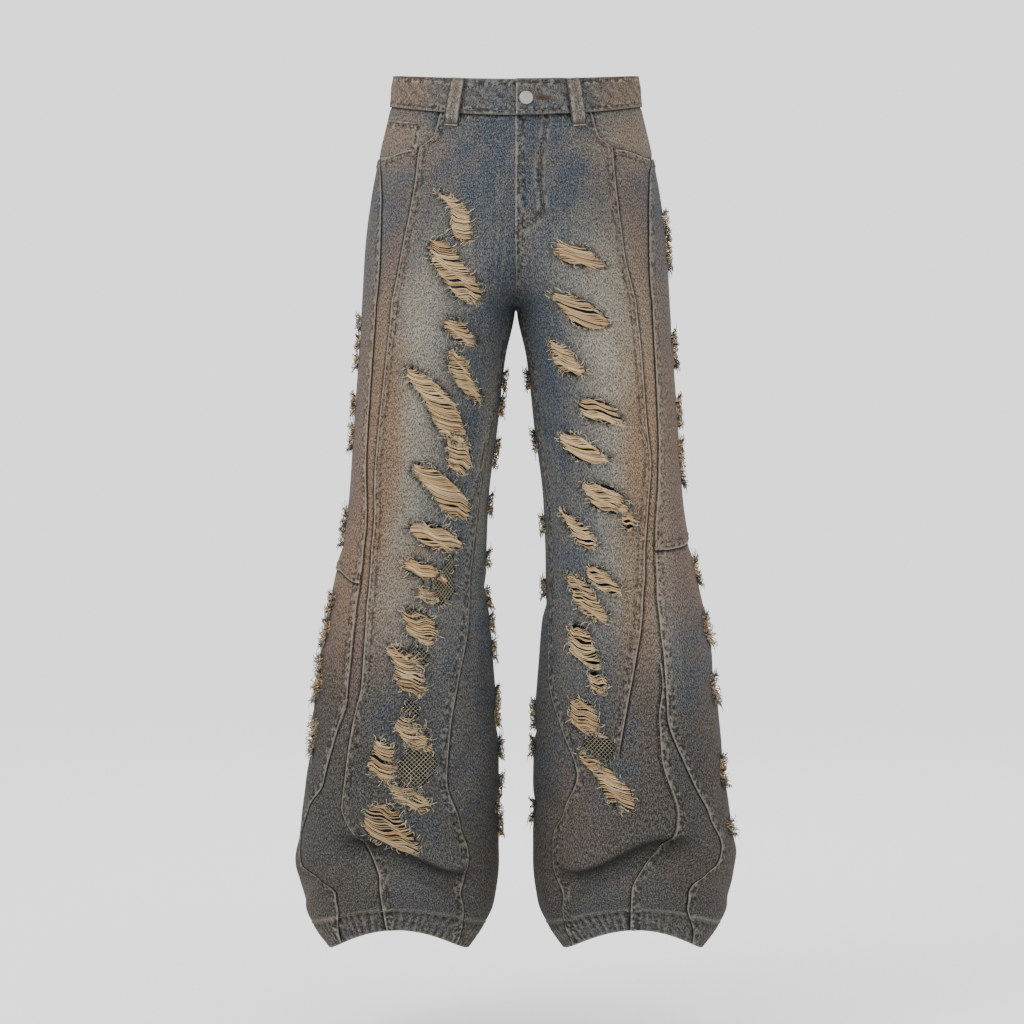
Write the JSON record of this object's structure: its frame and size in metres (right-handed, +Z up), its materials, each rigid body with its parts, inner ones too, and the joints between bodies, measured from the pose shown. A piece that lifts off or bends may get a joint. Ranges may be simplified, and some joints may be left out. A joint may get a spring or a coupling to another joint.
{
  "type": "ripped flared jeans",
  "caption": "Flared denim jeans, filled out as worn, with curved seams, a break fold on the shins, worn-through rips and a button waist.",
  "frame": {"origin": "centre of the waist opening, where the wearer's waist holds the band", "axes": "+Z up along the garment, -Y toward its front, +X toward the wearer's left"},
  "size_m": [0.5511, 0.276, 1.1121],
  "materials": {
    "denim": "washed and dirtied indigo twill, worn pale on the thighs and rust brown along the seams",
    "net": "open beige net over dark cloth",
    "pewter": "dull tumbled pewter"
  },
  "bodies": {
    "root": {"waistband": "denim", "belt_loop_front_left": "denim", "belt_loop_front_right": "denim", "belt_loop_back_left": "denim", "belt_loop_back_right": "denim", "belt_loop_back_centre": "denim", "pocket_facing_right": "denim", "back_yoke_right": "denim", "back_panel_right": "denim", "side_upper_right": "denim", "side_lower_right": "denim", "inner_leg_right": "denim", "hem_turnup_right": "denim", "back_pocket_right": "denim", "pocket_facing_left": "denim", "back_yoke_left": "denim", "back_panel_left": "denim", "side_upper_left": "denim", "side_lower_left": "denim", "inner_leg_left": "denim", "hem_turnup_left": "denim", "back_pocket_left": "denim", "front_panel_right": "denim", "front_strip_right": "denim", "front_panel_left": "denim", "front_gore_left": "denim", "coin_pocket": "denim", "fly_facing": "denim", "mesh_backing_right": "net", "mesh_backing_left": "net", "button": "pewter"}
  },
  "joints": []
}
